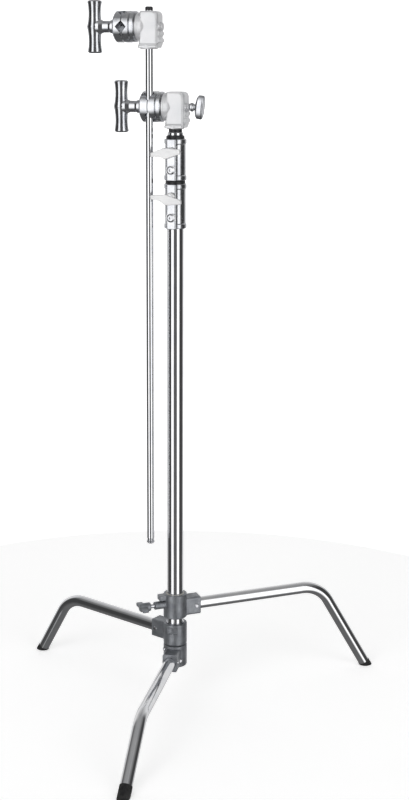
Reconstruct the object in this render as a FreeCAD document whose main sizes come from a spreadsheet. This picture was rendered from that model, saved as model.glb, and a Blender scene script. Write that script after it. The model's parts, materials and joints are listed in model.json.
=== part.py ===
import FreeCAD, Part
import math
import os

import Sketcher

# A sliding-leg stand with a clamp head, a long arm and a second clamp head.
# Units are millimetres.  The origin is on the column's axis at floor level, +Z is up,
# the clamp heads point along -X and the collar levers face -Y.

SIZES = {
    # column and risers
    "column_radius": 17.5, "column_bore": 15.9, "column_low": 84, "column_high": 1090,
    "riser_two_radius": 15, "riser_two_bore": 13.5, "riser_two_low": 136, "riser_two_high": 1181,
    "riser_three_radius": 12.5, "riser_three_bore": 11, "riser_three_low": 192,
    "riser_three_high": 1224.6, "guide_length": 16, "guide_neck": 15, "guide_chamfer": 1.5,
    "guide_rim": 1, "running_gap": 0.05,
    "plug_flange": 10, "plug_round": 6,
    # collars
    "collar_radius": 21.5, "collar_lip_radius": 23.2, "collar_lip": 9, "collar_boss_width": 21,
    "collar_boss_depth": 30, "collar_round": 3,
    "lower_collar_low": 1035, "lower_collar_height": 92, "lower_lever_height": 67,
    "lower_bolt_height": 24, "lower_bush_depth": 15,
    "upper_collar_low": 1134, "upper_collar_height": 84, "upper_lever_height": 59.5,
    "upper_bolt_height": 22, "upper_bush_depth": 14,
    "bush_flange": 6.4, "lower_bush_radius": 20.4, "upper_bush_radius": 18.8,
    # collar levers
    "lever_left": 41, "lever_right": 26, "lever_mid": 8, "lever_mid_half": 12.5,
    "lever_end_half": 4.8, "lever_thickness": 6, "lever_hub_radius": 9, "lever_hub": 10,
    "lever_back": 31.5, "lever_tilt_upper": 8, "lever_tilt_lower": -7.5,
    "clamp_screw_radius": 5, "clamp_screw_tip": 21, "pad_radius": 4.6,
    "pad_gap": 0.4, "bolt_head_radius": 8.8, "bolt_head": 4, "bolt_washer_radius": 10.2,
    "bolt_washer": 1.6, "bolt_shank_radius": 3, "bolt_shank": 8, "bolt_socket": 2.6,
    "bolt_socket_depth": 2.4,
    # leg castings
    "hub_radius": 25.5, "socket_reach": 54, "socket_half": 16, "socket_round": 5,
    "casting_edge": 2, "front_low": 76, "front_high": 124, "middle_low": 125.6, "middle_high": 173,
    "slide_low": 187, "slide_high": 240, "ring_height": 9, "ring_radius": 19.5,
    "circlip_radius": 19.6, "circlip_height": 1.5, "recess_width": 9, "recess_height": 14,
    "recess_depth": 3, "recess_drop": 6, "screw_depth": 5, "screw_head": 3,
    "screw_seat": 0.6, "screw_seat_gap": 0.1, "knob_boss_radius": 8.6,
    "knob_boss_reach": 48, "lug_reach": 38, "lug_half": 9, "lug_height": 11,
    # legs and feet
    "leg_radius": 12.7, "leg_bore": 11.1, "leg_start": 24, "leg_bend": 75, "leg_lift": 3.5,
    "front_leg_height": 99, "front_leg_reach": 442, "front_leg_tilt": 53.4,
    "front_leg_azimuth": 274.4,
    "middle_leg_height": 150.8, "middle_leg_reach": 405, "middle_leg_tilt": 31,
    "middle_leg_azimuth": 158.3,
    "slide_leg_height": 209.2, "slide_leg_reach": 470, "slide_leg_tilt": 30.5,
    "slide_leg_azimuth": 37.1,
    "foot_lip": 0.3, "foot_plug": 24, "rivet_radius": 3.2, "rivet_head": 1.6,
    "rivet_at": 44, "rivet_head_radius": 4.6,
    # wing knob on the sliding leg casting
    "wing_screw_radius": 4.2, "wing_screw_tip": 27, "wing_hub_low": 57, "wing_hub_high": 82,
    "wing_hub_radius": 9.4, "wing_length": 50, "wing_width": 16, "wing_thickness": 6.5,
    "wing_centre": 74, "shoe_front": 17.9, "shoe_length": 9,
    "shoe_radius": 4.8, "wing_height": 216,
    # top of the stand
    "cap_radius": 16.5, "cap_low": 1224.6, "cap_height": 6.4, "spigot_radius": 7.9375,
    "spigot_high": 1290, "spigot_groove": 1.2, "top_ring_radius": 13.8, "top_ring_height": 6,
    # clamp heads, measured from the crossing of the bore and the clamp axis
    "lower_head_height": 1282, "upper_head_height": 1441, "head_high": 31, "head_low": 39,
    "head_half_depth": 20, "head_back": 24, "head_face": 16, "head_flange_radius": 28,
    "head_flange_back": 23.2, "head_base_radius": 18.5, "head_base": 44, "head_round": 12,
    "head_edge": 3, "head_boss_radius": 8.5, "head_boss_reach": 30, "ear_radius": 6,
    "ear_half": 13, "ear_at": 22.5, "ear_upper": 13, "ear_lower": 27,
    "stud_radius": 5.9, "stud_bore": 5.95, "stud_near": 9.5, "stud_far": 94,
    "plate_radius": 31, "plate_back": 23.4, "plate_front": 32.8, "plate_edge": 2.5,
    "jaw_radius": 31.75, "jaw_edge": 3.2, "inner_jaw_back": 33, "jaw_split": 50.3,
    "jaw_half_gap": 0.9, "outer_jaw_front": 69, "groove_offset": 16.3,
    "groove_five_eighths": 11.65, "groove_half": 9.5, "groove_three_eighths": 7.3,
    "groove_quarter": 5, "washer_radius": 15, "washer": 2.4,
    # T-handles
    "handle_at": 115.8, "handle_half": 52.8, "handle_end_radius": 15.2,
    "handle_waist_radius": 12.8, "handle_mid_radius": 16.4,
    "stem_radius": 13.6, "stem_back": 71.6, "stem_neck_radius": 12, "handle_bore_end": 104,
    # arm
    "arm_radius": 7.9375, "arm_low": 366, "arm_high": 1473, "arm_cap_high": 1480.5,
    "tail_low": 354, "tail_radius": 8.3, "tail_neck_radius": 6.9, "tail_flange": 6,
    "tail_plug": 8,
    # spigot lock knob on the lower head
    "knob_screw_radius": 4.2, "knob_screw_tip": 17, "knob_hub_low": 31.5,
    "knob_hub_high": 44, "knob_hub_radius": 9.3, "knob_bar_at": 51, "knob_bar_half": 25,
    "knob_bar_radius": 9,
}

document = FreeCAD.newDocument("stand")
sheet = document.addObject("Spreadsheet::Sheet", "Sizes")


class Size:
    """A number together with the spreadsheet formula that gives it."""

    def __init__(self, value, text):
        self.value = float(value)
        self.text = text

    def __add__(self, other):
        other = as_size(other)
        return Size(self.value + other.value, "(%s + %s)" % (self.text, other.text))

    def __sub__(self, other):
        other = as_size(other)
        return Size(self.value - other.value, "(%s - %s)" % (self.text, other.text))

    def __mul__(self, other):
        other = as_size(other)
        return Size(self.value * other.value, "(%s * %s)" % (self.text, other.text))

    def __truediv__(self, other):
        other = as_size(other)
        return Size(self.value / other.value, "(%s / %s)" % (self.text, other.text))

    def __neg__(self):
        return Size(-self.value, "(0 - %s)" % self.text)

    __radd__ = __add__
    __rmul__ = __mul__

    def __rsub__(self, other):
        return as_size(other) - self


def as_size(item):
    """Turn a plain number into a Size, and leave a Size as it is."""
    if isinstance(item, Size):
        return item
    return Size(item, "(%g)" % item if item < 0 else "%g" % item)


def sine(angle):
    return Size(math.sin(math.radians(angle.value)), "sin(%s)" % angle.text)


def cosine(angle):
    return Size(math.cos(math.radians(angle.value)), "cos(%s)" % angle.text)


def tangent(angle):
    return Size(math.tan(math.radians(angle.value)), "tan(%s)" % angle.text)


class Table:
    """Holds one Size for each cell of the spreadsheet."""


size = Table()
for row, (alias, number) in enumerate(SIZES.items(), start=1):
    sheet.set("A%d" % row, alias)
    sheet.set("B%d" % row, "%g" % number)
    sheet.setAlias("B%d" % row, alias)
    setattr(size, alias, Size(number, "Sizes." + alias))
document.recompute()

parts = {}
X_AXIS = FreeCAD.Vector(1, 0, 0)
Y_AXIS = FreeCAD.Vector(0, 1, 0)
Z_AXIS = FreeCAD.Vector(0, 0, 1)


def bind(item, name, amount):
    """Tie one property of a document object to its spreadsheet formula."""
    item.setExpression(name, as_size(amount).text)


def place(item, x=0, y=0, z=0, axis=Z_AXIS, angle=0):
    """Place an object by spreadsheet-bound offsets and one turn about an axis."""
    x, y, z, angle = as_size(x), as_size(y), as_size(z), as_size(angle)
    turn = FreeCAD.Rotation(axis, angle.value)
    item.Placement = FreeCAD.Placement(FreeCAD.Vector(x.value, y.value, z.value), turn)
    for name, amount in (("x", x), ("y", y), ("z", z)):
        bind(item, "Placement.Base." + name, amount)
    if angle.value:
        bind(item, "Placement.Rotation.Angle", angle)


def new_body(name):
    """Make an empty body that is exported under its own name."""
    body = document.addObject("PartDesign::Body", name)
    body.Label = name
    parts[name] = body
    return body


def pin_point(sketch, item, end, x, y):
    """Fix one sketch point by spreadsheet-bound distances from the origin."""
    for kind, amount, line in (("DistanceX", x, -2), ("DistanceY", y, -1)):
        if amount.value == 0:
            sketch.addConstraint(Sketcher.Constraint("PointOnObject", item, end, line))
            continue
        index = sketch.addConstraint(Sketcher.Constraint(kind, -1, 1, item, end, amount.value))
        sketch.setExpression("Constraints[%d]" % index, amount.text)


def add_circle(sketch, x, y, radius):
    """Draw a circle with its centre and radius bound."""
    x, y, radius = as_size(x), as_size(y), as_size(radius)
    centre = FreeCAD.Vector(x.value, y.value, 0)
    item = sketch.addGeometry(Part.Circle(centre, Z_AXIS, radius.value), False)
    pin_point(sketch, item, 3, x, y)
    index = sketch.addConstraint(Sketcher.Constraint("Radius", item, radius.value))
    sketch.setExpression("Constraints[%d]" % index, radius.text)


def arc_between(start, end, radius):
    """Return an arc from start to end; a positive radius keeps its centre on the left."""
    chord = end - start
    middle = (start + end) * 0.5
    left = FreeCAD.Vector(-chord.y, chord.x, 0).normalize()
    rise = math.sqrt(max(radius * radius - chord.Length * chord.Length / 4.0, 0))
    centre = middle + left * (rise if radius > 0 else -rise)
    first, last = (start, end) if radius > 0 else (end, start)
    angles = [math.atan2(p.y - centre.y, p.x - centre.x) for p in (first, last)]
    if angles[1] < angles[0]:
        angles[1] += 2 * math.pi
    circle = Part.Circle(centre, Z_AXIS, abs(radius))
    return Part.ArcOfCircle(circle, angles[0], angles[1])


def add_outline(sketch, points, closed=True):
    """Draw joined lines and arcs; a third number in a point is the radius of its arc."""
    corners = []
    for point in points:
        x, y = as_size(point[0]), as_size(point[1])
        corners.append((x, y, FreeCAD.Vector(x.value, y.value, 0)))
    count = len(points) if closed else len(points) - 1
    items = []
    for i in range(count):
        start, end = corners[i][2], corners[(i + 1) % len(points)][2]
        if len(points[i]) == 3:
            radius = as_size(points[i][2])
            item = sketch.addGeometry(arc_between(start, end, radius.value), False)
            index = sketch.addConstraint(Sketcher.Constraint("Radius", item, abs(radius.value)))
            sketch.setExpression("Constraints[%d]" % index, "abs(%s)" % radius.text)
            items.append((item, 1, 2) if radius.value > 0 else (item, 2, 1))
        else:
            item = sketch.addGeometry(Part.LineSegment(start, end), False)
            items.append((item, 1, 2))
    for i in range(count):
        item, first, last = items[i]
        pin_point(sketch, item, first, corners[i][0], corners[i][1])
        if closed or i + 1 < count:
            other = items[(i + 1) % count]
            joint = Sketcher.Constraint("Coincident", item, last, other[0], other[1])
            sketch.addConstraint(joint)
        else:
            pin_point(sketch, item, last, corners[i + 1][0], corners[i + 1][1])


def draw(body, name, role, shapes, lift=0, axis=None, angle=0, shift=0):
    """Sketch circles and outlines on one of the body's own origin planes."""
    sketch = body.newObject("Sketcher::SketchObject", name)
    plane = [f for f in body.Origin.OriginFeatures if f.Role == role][0]
    sketch.AttachmentSupport = [(plane, "")]
    sketch.MapMode = "FlatFace"
    lift, angle, shift = as_size(lift), as_size(angle), as_size(shift)
    turn = FreeCAD.Rotation(axis or Z_AXIS, angle.value)
    base = FreeCAD.Vector(shift.value, 0, lift.value)
    sketch.AttachmentOffset = FreeCAD.Placement(base, turn)
    bind(sketch, "AttachmentOffset.Base.x", shift)
    bind(sketch, "AttachmentOffset.Base.z", lift)
    if angle.value:
        bind(sketch, "AttachmentOffset.Rotation.Angle", angle)
    for shape in shapes:
        if isinstance(shape, tuple):
            add_circle(sketch, *shape)
        else:
            add_outline(sketch, shape)
    document.recompute()
    return sketch


def pad(body, name, role, shapes, low, high, **offset):
    """Add material between two offsets along the plane's normal."""
    sketch = draw(body, name + "_sketch", role, shapes, lift=low, **offset)
    feature = body.newObject("PartDesign::Pad", name)
    feature.Profile = sketch
    bind(feature, "Length", as_size(high) - low)
    sketch.Visibility = False
    document.recompute()
    return feature


def pocket(body, name, role, shapes, low, high, **offset):
    """Remove material between two offsets along the plane's normal."""
    before = body.Shape.Volume
    sketch = draw(body, name + "_sketch", role, shapes, lift=high, **offset)
    feature = body.newObject("PartDesign::Pocket", name)
    feature.Profile = sketch
    bind(feature, "Length", as_size(high) - low)
    sketch.Visibility = False
    document.recompute()
    if body.Shape.Volume >= before - 0.01:
        raise RuntimeError("%s removed nothing" % name)
    return feature


def turned(body, name, outline, role="XZ_Plane", axis="V_Axis", **offset):
    """Revolve an outline a full turn about one of the sketch's own axes."""
    sketch = draw(body, name + "_sketch", role, [outline], **offset)
    feature = body.newObject("PartDesign::Revolution", name)
    feature.Profile = sketch
    feature.ReferenceAxis = (sketch, [axis])
    feature.Angle = 360
    sketch.Visibility = False
    document.recompute()
    return feature


def round_edges(body, name, radius, wanted):
    """Fillet the edges of the body's tip that the given test accepts."""
    tip = body.Tip
    edges = tip.Shape.Edges
    names = ["Edge%d" % (i + 1) for i, edge in enumerate(edges) if wanted(edge)]
    if not names:
        raise RuntimeError("%s found no edges" % name)
    feature = body.newObject("PartDesign::Fillet", name)
    feature.Base = (tip, names)
    bind(feature, "Radius", radius)
    document.recompute()
    if "Invalid" in feature.State or not feature.Shape.isValid():
        raise RuntimeError("%s failed" % name)
    return feature


def level(edge, height):
    """True for an edge that lies wholly at one height."""
    box = edge.BoundBox
    return abs(box.ZMin - height.value) < 0.01 and abs(box.ZMax - height.value) < 0.01


def upright(edge):
    """True for a straight edge along Z."""
    box = edge.BoundBox
    return box.XLength < 0.01 and box.YLength < 0.01 and box.ZLength > 1


def rectangle(x_low, x_high, y_low, y_high):
    return [(x_low, y_low), (x_high, y_low), (x_high, y_high), (x_low, y_high)]


def tube(name, radius, bore, low, high):
    """A round tube standing on the column's axis."""
    body = new_body(name)
    turned(body, name + "_wall", rectangle(bore, radius, low, high))
    return body


# ---------------------------------------------------------------- column and risers
tube("main_column", size.column_radius, size.column_bore, size.column_low, size.column_high)
tube("riser_2_tube", size.riser_two_radius, size.riser_two_bore,
     size.riser_two_low, size.riser_two_high)
tube("riser_3_tube", size.riser_three_radius, size.riser_three_bore,
     size.riser_three_low, size.riser_three_high)


def riser_guide(name, outer_bore, inner_bore, tube_low):
    """A slippery end plug that guides the foot of a riser inside the tube around it."""
    flange = outer_bore - size.running_gap
    neck = inner_bore - size.running_gap
    chamfer = size.guide_chamfer
    top = tube_low - size.guide_rim
    low = top - size.guide_length
    body = new_body(name)
    turned(body, name + "_turned", [
        (0, low), (flange - chamfer, low), (flange, low + chamfer), (flange, top), (neck, top),
        (neck, top + size.guide_neck), (0, top + size.guide_neck)])


riser_guide("riser_2_guide", size.column_bore, size.riser_two_bore, size.riser_two_low)
riser_guide("riser_3_guide", size.riser_two_bore, size.riser_three_bore, size.riser_three_low)

plug = new_body("column_end_plug")
plug_low = size.column_low - size.plug_flange
turned(plug, "column_end_plug_turned", [
    (0, plug_low), (size.column_radius - size.plug_round, plug_low, size.plug_round),
    (size.column_radius, plug_low + size.plug_round), (size.column_radius, size.column_low),
    (size.column_bore, size.column_low),
    (size.column_bore, size.column_low + size.guide_neck), (0, size.column_low + size.guide_neck)])


# ---------------------------------------------------------------- collars
def bush(name, flange_radius, seat_radius, bore, top, depth):
    """A black plastic guide ring set in the mouth of a collar."""
    running = bore + size.running_gap
    body = new_body(name)
    turned(body, name + "_turned", [
        (running, top - depth), (seat_radius, top - depth), (seat_radius, top),
        (flange_radius, top), (flange_radius, top + size.bush_flange - 1),
        (flange_radius - 1, top + size.bush_flange), (running, top + size.bush_flange)])


def collar(name, low, height, lever_height, bolt_height, tube_radius, tube_high, seat_radius,
           bush_depth):
    """A cast collar with a full-height boss in front for the clamp screw and pinch bolt."""
    high = low + height
    body = new_body(name)
    lip = size.collar_lip_radius
    waist = size.collar_radius
    turned(body, name + "_turned", [
        (0, low), (lip, low), (lip, low + size.collar_lip), (waist, low + size.collar_lip + 2),
        (waist, high - size.collar_lip - 2), (lip, high - size.collar_lip), (lip, high), (0, high)])
    half = size.collar_boss_width / 2
    pad(body, name + "_boss", "XY_Plane",
        [rectangle(-half, half, -size.collar_boss_depth, 0)], low, high)
    round_edges(body, name + "_boss_round", size.collar_round,
                lambda edge: upright(edge) and edge.BoundBox.YMin < -29)
    round_edges(body, name + "_rim_round", size.casting_edge,
                lambda edge: level(edge, low) or level(edge, high))
    bore = seat_radius
    pocket(body, name + "_tube_bore", "XY_Plane", [(0, 0, tube_radius)], low, tube_high)
    pocket(body, name + "_seat", "XY_Plane", [(0, 0, bore)], high - bush_depth, high)
    clear = tube_radius if tube_radius.value > seat_radius.value else seat_radius
    pocket(body, name + "_passage", "XY_Plane", [(0, 0, clear)], tube_high, high - bush_depth)
    back = size.collar_boss_depth + 1
    pocket(body, name + "_screw_bore", "XZ_Plane",
           [(0, low + lever_height, size.clamp_screw_radius + size.running_gap)], 10, back)
    pocket(body, name + "_bolt_bore", "XZ_Plane",
           [(0, low + bolt_height, size.bolt_shank_radius)],
           size.collar_boss_depth - size.bolt_shank, back)


bush("lower_bush", size.lower_bush_radius, size.column_radius, size.riser_two_radius,
     size.lower_collar_low + size.lower_collar_height, size.lower_bush_depth)
collar("lower_collar", size.lower_collar_low, size.lower_collar_height,
       size.lower_lever_height, size.lower_bolt_height, size.column_radius,
       size.column_high, size.column_radius, size.lower_bush_depth)
bush("upper_bush", size.upper_bush_radius, size.riser_two_radius, size.riser_three_radius,
     size.upper_collar_low + size.upper_collar_height, size.upper_bush_depth)
collar("upper_collar", size.upper_collar_low, size.upper_collar_height,
       size.upper_lever_height, size.upper_bolt_height, size.riser_two_radius,
       size.riser_two_high, size.riser_two_radius, size.upper_bush_depth)


def collar_bolt(level_name, height):
    """The round-headed pinch bolt in the lower half of a collar, with its washer."""
    face = size.collar_boss_depth
    washer = new_body(level_name + "_collar_washer")
    turned(washer, level_name + "_washer_turned", [
        (size.bolt_shank_radius, face), (size.bolt_washer_radius, face),
        (size.bolt_washer_radius, face + size.bolt_washer),
        (size.bolt_shank_radius, face + size.bolt_washer)])
    place(washer, z=height, axis=X_AXIS, angle=90)
    bolt = new_body(level_name + "_collar_bolt")
    under = face + size.bolt_washer
    top = under + size.bolt_head
    head = size.bolt_head_radius
    turned(bolt, level_name + "_bolt_turned", [
        (0, face - size.bolt_shank), (size.bolt_shank_radius, face - size.bolt_shank),
        (size.bolt_shank_radius, under), (head, under), (head, top - 2.5),
        (head - 3, top), (0, top)])
    corners = []
    for step in range(6):
        angle = as_size(60 * step)
        corners.append((cosine(angle) * size.bolt_socket * 1.1547,
                        sine(angle) * size.bolt_socket * 1.1547))
    pocket(bolt, level_name + "_bolt_socket", "XY_Plane", [corners],
           top - size.bolt_socket_depth, top)
    place(bolt, z=height, axis=X_AXIS, angle=90)


collar_bolt("lower", size.lower_collar_low + size.lower_bolt_height)
collar_bolt("upper", size.upper_collar_low + size.upper_bolt_height)


def collar_lever(level_name, tilt, height):
    """A cast wing lever on its clamp screw, with the brass pad the screw pushes."""
    lever = new_body(level_name + "_lever")
    wing = [(-size.lever_left, -size.lever_end_half), (-size.lever_mid, -size.lever_mid_half),
            (size.lever_right, -size.lever_end_half), (size.lever_right, size.lever_end_half),
            (-size.lever_mid, size.lever_mid_half), (-size.lever_left, size.lever_end_half)]
    back = size.lever_back
    wing_low = back + size.lever_hub - size.lever_thickness
    pad(lever, level_name + "_lever_wing", "XZ_Plane", [wing], wing_low, back + size.lever_hub)
    round_edges(lever, level_name + "_lever_corners", 4,
                lambda edge: edge.BoundBox.XLength < 0.01 and edge.BoundBox.ZLength < 0.01)
    round_edges(lever, level_name + "_lever_edges", 1.5,
                lambda edge: edge.BoundBox.YLength < 0.01)
    pad(lever, level_name + "_lever_hub", "XZ_Plane", [(0, 0, size.lever_hub_radius)],
        back, wing_low + 1)
    pocket(lever, level_name + "_lever_bore", "XZ_Plane", [(0, 0, size.clamp_screw_radius)],
           back, back + size.lever_hub - 2)
    place(lever, z=height, axis=Y_AXIS, angle=-tilt)
    screw = new_body(level_name + "_lever_screw")
    turned(screw, level_name + "_lever_screw_turned", [
        (0, size.clamp_screw_tip), (size.clamp_screw_radius - 1, size.clamp_screw_tip),
        (size.clamp_screw_radius, size.clamp_screw_tip + 1),
        (size.clamp_screw_radius, back + size.lever_hub - 2), (0, back + size.lever_hub - 2)])
    place(screw, z=height, axis=X_AXIS, angle=90)


def clamp_pad(name, front, height):
    """A round brass pad between a clamp screw and the riser it holds."""
    body = new_body(name)
    turned(body, name + "_turned", [
        (0, front), (size.pad_radius, front), (size.pad_radius, size.clamp_screw_tip),
        (0, size.clamp_screw_tip)])
    place(body, z=height, axis=X_AXIS, angle=90)


lower_lever_level = size.lower_collar_low + size.lower_lever_height
upper_lever_level = size.upper_collar_low + size.upper_lever_height
collar_lever("lower", size.lever_tilt_lower, lower_lever_level)
collar_lever("upper", size.lever_tilt_upper, upper_lever_level)
clamp_pad("lower_clamp_pad", size.riser_two_radius + size.pad_gap, lower_lever_level)
clamp_pad("upper_clamp_pad", size.riser_three_radius + size.pad_gap, upper_lever_level)


# ---------------------------------------------------------------- leg castings
def leg_casting(name, low, high, leg_height):
    """A cast hub around the column with a block that holds the end of one leg."""
    body = new_body(name)
    turned(body, name + "_hub", rectangle(0, size.hub_radius, low, high))
    round_edges(body, name + "_rim_round", size.casting_edge,
                lambda edge: level(edge, high) or level(edge, low))
    half = size.socket_half
    pad(body, name + "_socket", "XY_Plane",
        [rectangle(0, size.socket_reach, -half, half)],
        leg_height - size.leg_radius - 7, leg_height + size.leg_radius + 7)
    round_edges(body, name + "_socket_round", size.socket_round,
                lambda edge: edge.BoundBox.YLength < 0.01 and edge.BoundBox.ZLength < 0.01
                and edge.BoundBox.XMax > size.socket_reach.value - 0.1)
    return body


def finish_casting(body, name, low, high, leg_height, azimuth, bore):
    """Bore the casting for the column, the leg and its rivet, and turn it into place."""
    pocket(body, name + "_column_bore", "XY_Plane", [(0, 0, bore)], low - 1, high + 1)
    pocket(body, name + "_leg_bore", "YZ_Plane", [(0, leg_height, size.leg_radius)],
           size.leg_start, size.socket_reach + 1)
    pocket(body, name + "_rivet_bore", "XZ_Plane",
           [(size.rivet_at, leg_height, size.rivet_radius)],
           -size.socket_half - 1, size.socket_half + 1)
    place(body, axis=Z_AXIS, angle=azimuth)


def slanted_pad(body, name, radius, reach, tilt, start, end):
    """Add a cylinder along the slanting part of a leg, measured up from the floor."""
    sketch = draw(body, name + "_sketch", "XY_Plane", [(0, 0, radius)],
                  lift=cosine(tilt) * start, shift=reach - sine(tilt) * start,
                  axis=Y_AXIS, angle=-tilt)
    feature = body.newObject("PartDesign::Pad", name)
    feature.Profile = sketch
    bind(feature, "Length", end - start)
    document.recompute()


def make_leg(prefix, leg_height, reach, tilt, azimuth):
    """A bent steel tube, its rubber foot and the rivet that keeps it in its casting."""
    corner = reach - tangent(tilt) * leg_height
    bend_angle = 90 - tilt
    run = size.leg_bend * tangent(bend_angle / 2)
    end_height = size.leg_radius * sine(tilt) + size.leg_lift
    end_x = reach - tangent(tilt) * end_height
    leg = new_body(prefix + "_leg")
    ring = draw(leg, prefix + "_leg_ring", "YZ_Plane",
                [(0, leg_height, size.leg_radius), (0, leg_height, size.leg_bore)],
                lift=size.leg_start)
    spine = leg.newObject("Sketcher::SketchObject", prefix + "_leg_spine")
    plane = [f for f in leg.Origin.OriginFeatures if f.Role == "XZ_Plane"][0]
    spine.AttachmentSupport = [(plane, "")]
    spine.MapMode = "FlatFace"
    bend_x = corner + run * sine(tilt)
    bend_z = leg_height - run * cosine(tilt)
    add_outline(spine, [(size.leg_start, leg_height), (corner - run, leg_height, -size.leg_bend),
                        (bend_x, bend_z), (end_x, end_height)], closed=False)
    document.recompute()
    pipe = leg.newObject("PartDesign::AdditivePipe", prefix + "_leg_pipe")
    pipe.Profile = ring
    pipe.Spine = spine
    pipe.Transition = "Transformed"
    document.recompute()
    across = leg.newObject("Sketcher::SketchObject", prefix + "_leg_rivet_hole_sketch")
    across.AttachmentSupport = [(plane, "")]
    across.MapMode = "FlatFace"
    add_circle(across, size.rivet_at, leg_height, size.rivet_radius)
    document.recompute()
    hole = leg.newObject("PartDesign::Pocket", prefix + "_leg_rivet_hole")
    hole.Profile = across
    hole.Type = "ThroughAll"
    hole.Midplane = True
    document.recompute()
    place(leg, axis=Z_AXIS, angle=azimuth)

    foot = new_body(prefix + "_foot")
    end_along = end_height / cosine(tilt)
    outer = size.leg_radius + size.foot_lip
    slanted_pad(foot, prefix + "_foot_sole", outer, reach, tilt, -outer * 2, end_along)
    slanted_pad(foot, prefix + "_foot_plug", size.leg_bore, reach, tilt, end_along,
                end_along + size.foot_plug)
    pocket(foot, prefix + "_foot_floor", "XY_Plane",
           [rectangle(reach - 90, reach + 90, -40, 40)], -60, 0)
    place(foot, axis=Z_AXIS, angle=azimuth)

    rivet = new_body(prefix + "_leg_rivet")
    side = size.socket_half
    turned(rivet, prefix + "_rivet_turned", [
        (0, -side - size.rivet_head), (size.rivet_head_radius - 1.2, -side - size.rivet_head),
        (size.rivet_head_radius, -side), (size.rivet_radius, -side),
        (size.rivet_radius, side), (size.rivet_head_radius, side),
        (size.rivet_head_radius - 1.2, side + size.rivet_head), (0, side + size.rivet_head)])
    spot = FreeCAD.Rotation(Z_AXIS, azimuth.value).multVec(
        FreeCAD.Vector(size.rivet_at.value, 0, 0))
    rivet.Placement = FreeCAD.Placement(
        FreeCAD.Vector(spot.x, spot.y, leg_height.value),
        FreeCAD.Rotation(Z_AXIS, azimuth.value).multiply(FreeCAD.Rotation(X_AXIS, 90)))


def from_side(body, name, azimuth, shapes, low, high, cut):
    """Add or cut a feature that points straight out from the column at one azimuth."""
    before = body.Shape.Volume
    turn = as_size(azimuth) - 270
    start = as_size(high if cut else low)
    sketch = draw(body, name + "_sketch", "XZ_Plane", shapes, lift=start * cosine(turn),
                  shift=start * sine(turn), axis=Y_AXIS, angle=turn)
    feature = body.newObject("PartDesign::Pocket" if cut else "PartDesign::Pad", name)
    feature.Profile = sketch
    bind(feature, "Length", as_size(high) - low)
    document.recompute()
    changed = body.Shape.Volume - before
    if (changed > -0.01) if cut else (changed < 0.01):
        raise RuntimeError("%s changed nothing" % name)


# the lowest casting is fixed to the column, the middle one turns on it
# azimuth and height of each screw in the lowest casting
SCREWS = ((222, 114), (222, 96), (312, 92))
# azimuths of the recesses in the middle casting, from its own leg
RECESSES = (103, 129, 231, 257)
front = leg_casting("front_casting", size.front_low, size.front_high, size.front_leg_height)
for number, (azimuth, height) in enumerate(SCREWS, start=1):
    turn = as_size(azimuth) - size.front_leg_azimuth
    from_side(front, "front_casting_screw_bore_%d" % number, turn,
              [(0, height, size.bolt_shank_radius)], size.hub_radius - size.screw_depth,
              size.hub_radius + size.screw_head, True)
    from_side(front, "front_casting_screw_seat_%d" % number, turn,
              [(0, height, size.rivet_head_radius + size.screw_seat_gap)],
              size.hub_radius - size.screw_seat, size.hub_radius + size.screw_head, True)
finish_casting(front, "front_casting", size.front_low, size.front_high, size.front_leg_height,
               size.front_leg_azimuth, size.column_radius)
middle = leg_casting("middle_casting", size.middle_low, size.middle_high,
                     size.middle_leg_height)
for number, azimuth in enumerate(RECESSES, start=1):
    half = size.recess_width / 2
    top = size.middle_high - size.recess_drop
    from_side(middle, "middle_casting_recess_%d" % number, azimuth,
              [rectangle(-half, half, top - size.recess_height, top)],
              size.hub_radius - size.recess_depth, size.hub_radius + 1, True)
finish_casting(middle, "middle_casting", size.middle_low, size.middle_high,
               size.middle_leg_height, size.middle_leg_azimuth,
               size.column_radius + size.running_gap)

# the top casting turns on two slippery rings that slide on the column
slide = leg_casting("slide_casting", size.slide_low, size.slide_high, size.slide_leg_height)
from_side(slide, "slide_casting_boss", 180, [(0, size.wing_height, size.knob_boss_radius)],
          size.column_radius, size.knob_boss_reach, False)
pad(slide, "slide_casting_lug", "XY_Plane",
    [rectangle(-size.lug_reach, -size.column_radius, -size.lug_half, size.lug_half)],
    size.slide_high - 1.5 - size.lug_height, size.slide_high - 1.5)
finish_casting(slide, "slide_casting", size.slide_low, size.slide_high, size.slide_leg_height,
               size.slide_leg_azimuth, size.column_radius + 0.6)
ring_bore = size.ring_radius + size.running_gap
pocket(slide, "slide_casting_low_seat", "XY_Plane", [(0, 0, ring_bore)], size.slide_low - 1,
       size.slide_low + size.ring_height + 0.2)
pocket(slide, "slide_casting_high_seat", "XY_Plane", [(0, 0, ring_bore)],
       size.slide_high - size.ring_height - 0.2, size.slide_high + 1)
from_side(slide, "slide_casting_screw_bore", 180,
          [(0, size.wing_height, size.wing_screw_radius + size.running_gap)],
          size.column_radius, size.knob_boss_reach + 1, True)
from_side(slide, "slide_casting_shoe_bore", 180,
          [(0, size.wing_height, size.shoe_radius + size.running_gap)],
          size.column_radius, size.wing_screw_tip + 1.5, True)

make_leg("front", size.front_leg_height, size.front_leg_reach, size.front_leg_tilt,
         size.front_leg_azimuth)
make_leg("middle", size.middle_leg_height, size.middle_leg_reach, size.middle_leg_tilt,
         size.middle_leg_azimuth)
make_leg("slide", size.slide_leg_height, size.slide_leg_reach, size.slide_leg_tilt,
         size.slide_leg_azimuth)


def compound(name, members):
    """Group identical separate pieces under one exported name."""
    group = document.addObject("Part::Compound", name)
    group.Label = name
    group.Links = members
    parts[name] = group


def inner_body(name):
    """A body that is exported only as a member of a group."""
    body = document.addObject("PartDesign::Body", name)
    return body


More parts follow.
